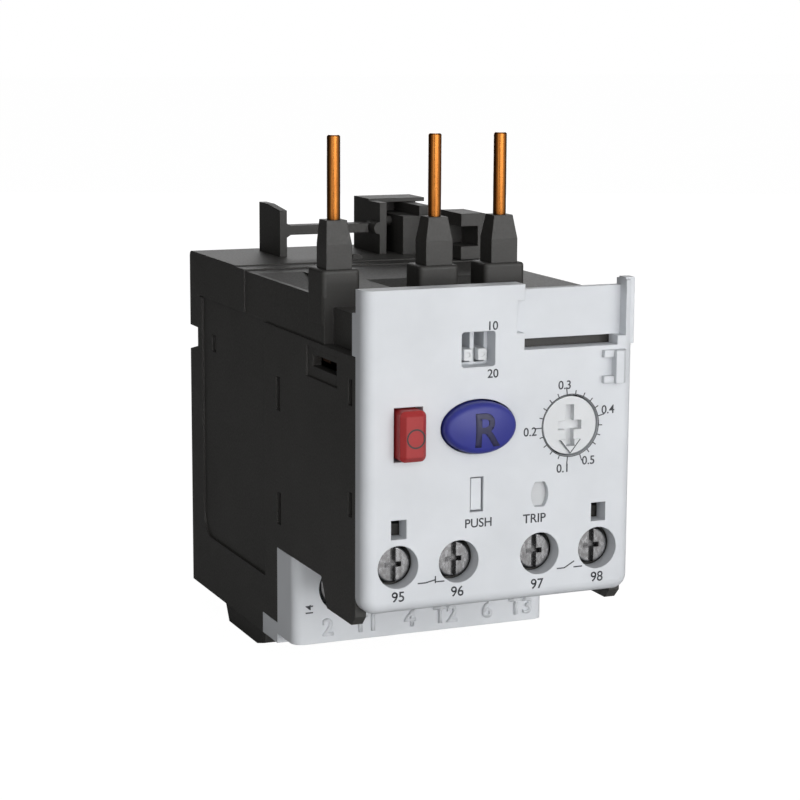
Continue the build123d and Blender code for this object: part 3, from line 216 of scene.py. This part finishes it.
# Housing, pedestals, sleeves, hook and latch: glass-filled polyamide, injection moulded in spark
# eroded steel moulds. The eye sees near black, a fine even grain and soft light on rounded edges.
def moulded(name, shades, grain_mm, roughness, relief_mm, edge_mm=0.2, ior=1.5):
    """A moulded plastic: two close shades, the grain of the mould, and edges a little rounded."""
    made, tree = new_material(name)
    place = add_node(tree, "ShaderNodeTexCoord").outputs["Object"]
    cloud = add_node(tree, "ShaderNodeTexNoise", {"Vector": place, "Scale": 1 / (14 * MM), "Detail": 3.0,
                                                  "Roughness": 0.6})
    grain = add_node(tree, "ShaderNodeTexNoise", {"Vector": place, "Scale": 1 / (grain_mm * MM),
                                                  "Detail": 2.0}).outputs["Fac"]
    shade = add_ramp(tree, cloud.outputs["Fac"], list(zip((0.3, 0.7), shades)))
    rough = add_node(tree, "ShaderNodeMapRange", {"Value": grain, "From Min": 0.3, "From Max": 0.7,
                                                  "To Min": roughness[0], "To Max": roughness[1]})
    edge = add_node(tree, "ShaderNodeBevel", {"Radius": edge_mm * MM}, samples=4)
    relief = add_node(tree, "ShaderNodeBump", {"Strength": 0.35, "Distance": relief_mm * MM, "Height": grain,
                                               "Normal": edge.outputs["Normal"]})
    skin = add_node(tree, "ShaderNodeBsdfPrincipled", {"Base Color": shade, "IOR": ior,
                                                       "Roughness": rough.outputs["Result"],
                                                       "Normal": relief.outputs["Normal"]})
    add_node(tree, "ShaderNodeOutputMaterial", {"Surface": skin.outputs["BSDF"]})
    return made


def finish_nodes(made, *names):
    """Gives every CAD node whose name starts with one of these its material."""
    for node_name, node in nodes.items():
        if node_name.startswith(names):
            node.data.materials.clear()
            node.data.materials.append(made)


black_polyamide = moulded("black_polyamide_moulded", ("2a2927", "32312f"), 0.35, (0.5, 0.62), 0.03)
finish_nodes(black_polyamide, "base_housing", "upper_housing", "pin_sleeves", "guide_post", "latch_frame",
             "roof_hook", "control_block", "potentiometer")


# Front cover with its test plunger and switch body: light grey polyamide in a fine satin grain,
# clipped to the housing. The eye sees a cool pale grey with crisp dark print.
SATIN = (0.45, 0.6)
light_polyamide = moulded("light_grey_polyamide_moulded", ("c9ccd0", "d3d6da"), 0.25, SATIN, 0.015)
finish_nodes(light_polyamide, "front_cover", "test_button", "mode_switch")


# Print on the cover: numbers, ticks and signs pad printed in dark grey ink, a film a few hundredths
# of a millimetre thick. The eye sees flat matt strokes with clean edges.
INK_DEPTH = 0.02 * MM
INK_LIFT = 0.01 * MM


def printed(name, code, roughness):
    """Matt printing ink with a slightly uneven film."""
    made, tree = new_material(name)
    place = add_node(tree, "ShaderNodeTexCoord").outputs["Object"]
    film = add_node(tree, "ShaderNodeTexNoise", {"Vector": place, "Scale": 1 / (0.4 * MM), "Detail": 2.0})
    rough = add_node(tree, "ShaderNodeMapRange", {"Value": film.outputs["Fac"], "To Min": roughness - 0.1,
                                                  "To Max": roughness + 0.1})
    skin = add_node(tree, "ShaderNodeBsdfPrincipled", {"Base Color": srgb(code),
                                                       "Roughness": rough.outputs["Result"]})
    add_node(tree, "ShaderNodeOutputMaterial", {"Surface": skin.outputs["BSDF"]})
    return made


def letters(words, height, depth, bold=0.012):
    """Words as a solid lying in the XY plane, centred, with capitals of that height."""
    curve = bpy.data.curves.new("words", "FONT")
    curve.body = words
    curve.offset = bold
    typed = bpy.data.objects.new("words", curve)
    flat = bpy.data.meshes.new_from_object(typed)
    shape = bmesh.new()
    shape.from_mesh(flat)
    bmesh.ops.remove_doubles(shape, verts=shape.verts, dist=0.0001)
    lows = [min(v.co[i] for v in shape.verts) for i in (0, 1)]
    highs = [max(v.co[i] for v in shape.verts) for i in (0, 1)]
    middle = Vector((lows[0] + highs[0], lows[1] + highs[1], 0.0)) / 2
    bmesh.ops.translate(shape, verts=shape.verts, vec=-middle)
    size = height / (highs[1] - lows[1])
    bmesh.ops.scale(shape, verts=shape.verts, vec=(size, size, size))
    raised = bmesh.ops.extrude_face_region(shape, geom=shape.faces[:])
    bmesh.ops.translate(shape, verts=[v for v in raised["geom"] if isinstance(v, bmesh.types.BMVert)],
                        vec=(0.0, 0.0, depth))
    bmesh.ops.recalc_face_normals(shape, faces=shape.faces)
    bpy.data.objects.remove(typed)
    bpy.data.curves.remove(curve)
    bpy.data.meshes.remove(flat)
    return shape


def as_piece(name, shape, made, body):
    """Makes an object at the origin from a finished shape and lets it ride on its body."""
    mesh = bpy.data.meshes.new(name)
    shape.to_mesh(mesh)
    shape.free()
    mesh.materials.append(made)
    piece = bpy.data.objects.new(name, mesh)
    scene.collection.objects.link(piece)
    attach(piece, body)
    return piece


def onto_front(shape, x_mm, z_mm, y, turn=0.0):
    """Stands a flat shape up facing forward, at a place on the cover given from its lower left corner."""
    place = Vector((CORNER.x + x_mm * MM, y, CORNER.z + z_mm * MM))
    upright = Matrix.Rotation(math.radians(90), 4, "X") @ Matrix.Rotation(turn, 4, "Z")
    bmesh.ops.transform(shape, matrix=Matrix.Translation(place) @ upright, verts=shape.verts)
    return shape


ink = printed("dark_grey_pad_print", "3c3e42", 0.6)
FACE_Y = CORNER.y - INK_LIFT
SCALE_HIGH = 1.35
COVER_WORDS = [
    ("scale_0_1", "0.1", SCALE_HIGH, 32.8, 20.3),
    ("scale_0_2", "0.2", SCALE_HIGH, 27.25, 26.35),
    ("scale_0_3", "0.3", SCALE_HIGH, 33.0, 33.25),
    ("scale_0_4", "0.4", SCALE_HIGH, 40.55, 29.0),
    ("scale_0_5", "0.5", SCALE_HIGH, 37.3, 21.25),
    ("class_10", "10", SCALE_HIGH, 20.9, 43.0),
    ("class_20", "20", SCALE_HIGH, 20.9, 35.75),
    ("push_word", "PUSH", 1.4, 18.75, 12.95),
    ("trip_word", "TRIP", 1.4, 28.2, 12.85),
    ("number_95", "95", 1.6, 5.6, 2.65),
    ("number_96", "96", 1.6, 15.35, 2.6),
    ("number_97", "97", 1.6, 28.85, 2.45),
    ("number_98", "98", 1.6, 39.2, 2.6),
]
for name, words, height, x, z in COVER_WORDS:
    as_piece("print_" + name, onto_front(letters(words, height * MM, INK_DEPTH), x, z, FACE_Y), ink, "housing")


def stroke(x0, z0, x1, z1, wide):
    """A printed line on the cover between two places, in millimetres from its lower left corner."""
    line = bmesh.new()
    bmesh.ops.create_cube(line, size=1.0)
    bmesh.ops.scale(line, verts=line.verts, vec=(math.hypot(x1 - x0, z1 - z0) * MM, wide * MM, INK_DEPTH))
    bmesh.ops.translate(line, verts=line.verts, vec=(0.0, 0.0, INK_DEPTH / 2))
    bmesh.ops.rotate(line, verts=line.verts, matrix=Matrix.Rotation(math.atan2(z1 - z0, x1 - x0), 3, "Z"))
    return onto_front(line, (x0 + x1) / 2, (z0 + z1) / 2, FACE_Y)


def hoop(radius_mm, wide_mm):
    """A flat ring lying in the XY plane."""
    band = bmesh.new()
    bmesh.ops.create_circle(band, cap_ends=False, segments=96, radius=radius_mm * MM)
    rim = bmesh.ops.extrude_edge_only(band, edges=band.edges[:])
    outer = [v for v in rim["geom"] if isinstance(v, bmesh.types.BMVert)]
    grow = (radius_mm + wide_mm) / radius_mm
    bmesh.ops.scale(band, verts=outer, vec=(grow, grow, 1.0))
    bmesh.ops.recalc_face_normals(band, faces=band.faces)
    return band


# Scale round the dial: a printed ring and twenty-one ticks, every fifth one longer, clockwise from
# the bottom. It is printed on the cover, so it stays when the dial turns.
dial_low, dial_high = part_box("current_dial")
DIAL_X = ((dial_low.x + dial_high.x) / 2 - CORNER.x) / MM
DIAL_Z = ((dial_low.z + dial_high.z) / 2 - CORNER.z) / MM
RING_R = 4.76
TICK_R = 5.5
LONG_TICK_R = 6.0
SCALE_LINE = 0.17
TICKS = 21
TICK_START = math.radians(265)
TICK_SWEEP = math.radians(-335)
dial_ring = onto_front(hoop(RING_R, SCALE_LINE), DIAL_X, DIAL_Z, FACE_Y)
as_piece("print_dial_ring", dial_ring, ink, "housing")
for i in range(TICKS):
    angle = TICK_START + TICK_SWEEP * i / (TICKS - 1)
    end_r = LONG_TICK_R if i % 5 == 0 else TICK_R
    tick = stroke(DIAL_X + RING_R * math.cos(angle), DIAL_Z + RING_R * math.sin(angle),
                  DIAL_X + end_r * math.cos(angle), DIAL_Z + end_r * math.sin(angle), SCALE_LINE)
    as_piece(f"print_tick_{i + 1:02d}", tick, ink, "housing")


# Signs between the control terminals: a closed contact on the left and an open one on the right,
# each a short line, a lever and a short line, printed with the numbers.
SIGN_LINE = 0.2
LEAD_IN = (-2.2, 0.0, -0.9, 0.0)
LEAD_OUT = (0.7, 0.0, 2.2, 0.0)
CONTACT_SIGNS = {
    "closed": (11.0, 4.4, [LEAD_IN, (-0.9, 0.0, 0.8, 0.35), LEAD_OUT, (0.7, -0.2, 0.7, 0.9)]),
    "open": (34.4, 4.5, [LEAD_IN, (-0.9, 0.0, 0.8, 0.95), LEAD_OUT]),
}
for name, (x, z, lines) in CONTACT_SIGNS.items():
    for i, (x0, z0, x1, z1) in enumerate(lines):
        sign = stroke(x + x0, z + z0, x + x1, z + z1, SIGN_LINE)
        as_piece(f"print_{name}_contact_{i + 1}", sign, ink, "housing")


# Terminal block: paler polyamide, fixed to the housing under the cover. The terminal marks are raised
# on its front by the mould itself, so they have its own colour and show only by their light and
# shadow, and the stripping length is printed at its left.
MARK_HIGH = 2.9 * MM
MARK_PROUD = 0.45 * MM
MARK_SUNK = 0.05 * MM
MARK_Z = -9.85
MARKS = [("2", 5.8), ("T1", 12.1), ("4", 20.3), ("T2", 26.7), ("6", 34.4), ("T3", 40.6)]
block_polyamide = moulded("pale_grey_polyamide_moulded", ("dde0e4", "e4e7eb"), 0.25, SATIN, 0.015)
finish_nodes(block_polyamide, "terminal_block")
block_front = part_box("terminal_block")[0].y
for words, x in MARKS:
    mark = onto_front(letters(words, MARK_HIGH, MARK_PROUD, 0.02), x, MARK_Z, block_front + MARK_SUNK)
    as_piece("mark_" + words, mark, block_polyamide, "housing")
gauge = onto_front(letters("14", 1.3 * MM, INK_DEPTH), 2.6, -6.6, block_front - INK_LIFT, math.radians(90))
as_piece("print_strip_gauge", gauge, ink, "housing")


# Power pins and bus bars: drawn electrolytic copper, bright and faintly lacquered. The eye sees a
# warm orange metal with long soft streaks along the draw direction.
def drawn_metal(name, shades, roughness, streak_mm, stretch_z):
    """A metal with fine draw lines along Z, and painted shade that darkens its slots and corners."""
    made, tree = new_material(name)
    place = add_node(tree, "ShaderNodeTexCoord").outputs["Object"]
    along = add_node(tree, "ShaderNodeMapping", {"Vector": place, "Scale": (1.0, 1.0, stretch_z)})
    lines = add_node(tree, "ShaderNodeTexNoise", {"Vector": along.outputs["Vector"], "Detail": 3.0,
                                                  "Scale": 1 / (streak_mm * MM)}).outputs["Fac"]
    tone = add_ramp(tree, lines, list(zip((0.3, 0.7), shades)))
    # Painted shade: ambient occlusion darkens the base colour in slots, recesses and corners, where shade
    # falls.
    painted_recess_shade = add_node(tree, "ShaderNodeAmbientOcclusion", {"Color": tone, "Distance": 1.2 * MM}, samples=8)
    rough = add_node(tree, "ShaderNodeMapRange", {"Value": lines, "From Min": 0.3, "From Max": 0.7,
                                                  "To Min": roughness[0], "To Max": roughness[1]})
    relief = add_node(tree, "ShaderNodeBump", {"Strength": 0.2, "Distance": 0.004 * MM, "Height": lines})
    skin = add_node(tree, "ShaderNodeBsdfPrincipled", {"Base Color": painted_recess_shade.outputs["Color"], "Metallic": 1.0,
                                                       "Roughness": rough.outputs["Result"],
                                                       "Normal": relief.outputs["Normal"]})
    add_node(tree, "ShaderNodeOutputMaterial", {"Surface": skin.outputs["BSDF"]})
    return made


copper = drawn_metal("drawn_copper", ("70401a", "8c5a28"), (0.16, 0.26), 0.2, 0.05)
finish_nodes(copper, "power_pin", "bus_bar")


# Screws and box clamps: cold-headed steel, zinc plated with a clear passivation. The eye sees a
# pale grey metal with a faint warm cast and fine turning rings on the heads.
zinc = drawn_metal("zinc_plated_steel", ("8c8b8b", "adadaf"), (0.2, 0.3), 0.5, 0.6)
finish_nodes(zinc, "power_screw", "control_screw", "power_cage", "control_cage")


# Contact strips and bridges: stamped from brass strip, held in slots of the insulating block. The
# eye sees a yellow satin metal.
brass = drawn_metal("stamped_brass", ("b98d3a", "d2a855"), (0.25, 0.38), 0.2, 0.4)
finish_nodes(brass, "contact_strip", "contact_bridges")


# Springs behind the buttons: coiled from spring steel wire and seated on the insulating block.
spring_steel = drawn_metal("spring_steel_wire", ("77787c", "9a9ba0"), (0.25, 0.35), 0.1, 0.5)
for button in ("reset", "stop", "test"):
    coil = bmesh.new()
    coil.from_mesh(nodes[button + "_spring"].data)
    bmesh.ops.remove_doubles(coil, verts=coil.verts, dist=0.001 * MM)
    wire = as_piece(button + "_spring_coil", coil, spring_steel, "housing")
    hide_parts(button + "_spring")
    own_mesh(wire)


# Reset and stop buttons: ABS moulded in colour, polished mould. The eye sees a satin blue oval with
# a sunken letter R and a red block with a black ring.
blue_abs = moulded("blue_abs_moulded", ("1e247a", "242b88"), 0.4, (0.42, 0.52), 0.006, 0.3)
red_abs = moulded("red_abs_moulded", ("8e1718", "991b1c"), 0.4, (0.45, 0.55), 0.006, 0.25)
finish_nodes(blue_abs, "reset_button")
finish_nodes(red_abs, "stop_button")
deep_blue = printed("blue_black_print", "10103a", 0.5)
black_ink = printed("black_print", "141414", 0.5)
reset_low, reset_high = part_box("reset_button")
stop_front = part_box("stop_button")[0].y
DOME_R = 15.0 * MM
LETTER_PITCH = 0.5 * MM


def over_dome(shape, centre_x, centre_z):
    """Bends a flat standing shape over the domed crown of the reset button."""
    for axis in (0, 2):
        places = [v.co[axis] for v in shape.verts]
        for k in range(int((max(places) - min(places)) / LETTER_PITCH)):
            at = Vector((0.0, 0.0, 0.0))
            at[axis] = min(places) + (k + 1) * LETTER_PITCH
            across = Vector((0.0, 0.0, 0.0))
            across[axis] = 1.0
            everything = shape.verts[:] + shape.edges[:] + shape.faces[:]
            bmesh.ops.bisect_plane(shape, geom=everything, plane_co=at, plane_no=across)
    for v in shape.verts:
        away = (v.co.x - centre_x) ** 2 + (v.co.z - centre_z) ** 2
        v.co.y += DOME_R - math.sqrt(DOME_R ** 2 - away)
    return shape


letter = onto_front(letters("R", 5.2 * MM, 0.03 * MM, 0.02), 19.2, 27.6, reset_low.y + 0.01 * MM)
over_dome(letter, (reset_low.x + reset_high.x) / 2, (reset_low.z + reset_high.z) / 2)
as_piece("reset_letter", letter, deep_blue, "reset_button")
ring = onto_front(hoop(1.25, 0.25), 7.35, 27.1, stop_front - INK_LIFT)
as_piece("stop_ring", ring, black_ink, "stop_button")


# Dial, switch levers and light guide: the dial and levers are white acetal with a waxy sheen, and
# the guide is clear acrylic frosted at its face.
acetal = moulded("white_acetal_moulded", ("ccced0", "d4d6d8"), 0.3, (0.35, 0.45), 0.008, 0.15)
finish_nodes(acetal, "current_dial", "mode_lever", "contact_carriage")
ARROW = [(-1.7, -2.2), (0.0, -4.3), (1.7, -2.2)]
for i, ((x0, z0), (x1, z1)) in enumerate(zip(ARROW, ARROW[1:])):
    edge_line = stroke(DIAL_X + x0, DIAL_Z + z0, DIAL_X + x1, DIAL_Z + z1, 0.14)
    bmesh.ops.translate(edge_line, verts=edge_line.verts, vec=(0.0, dial_low.y - FACE_Y - INK_LIFT, 0.0))
    as_piece(f"dial_arrow_edge_{i + 1}", edge_line, ink, "current_dial")
frosted = moulded("frosted_acrylic", ("b4b6b8", "c4c6c8"), 0.3, (0.3, 0.4), 0.01, 0.1, 1.49)
finish_nodes(frosted, "light_pipe")


# Circuit boards: glass epoxy under green solder mask, slotted into the housing. The eye sees a deep
# green with a soft gloss.
solder_mask = moulded("green_solder_mask", ("0d4a2a", "145a35"), 0.5, (0.25, 0.4), 0.01, 0.05)
finish_nodes(solder_mask, "control_board", "sensor_board")


# Trip relay and transformers: yoke, armature and ring cores of annealed soft iron, coil and windings
# of enamelled copper wire. The eye sees dull grey iron and red-brown turns.
iron = drawn_metal("annealed_soft_iron", ("6c6d70", "86878a"), (0.35, 0.5), 0.3, 0.4)
finish_nodes(iron, "relay_yoke", "armature", "ct_core")
enamelled = drawn_metal("enamelled_copper_winding", ("7c3413", "a04c1e"), (0.3, 0.45), 0.12, 8.0)
finish_nodes(enamelled, "relay_coil", "ct_winding")
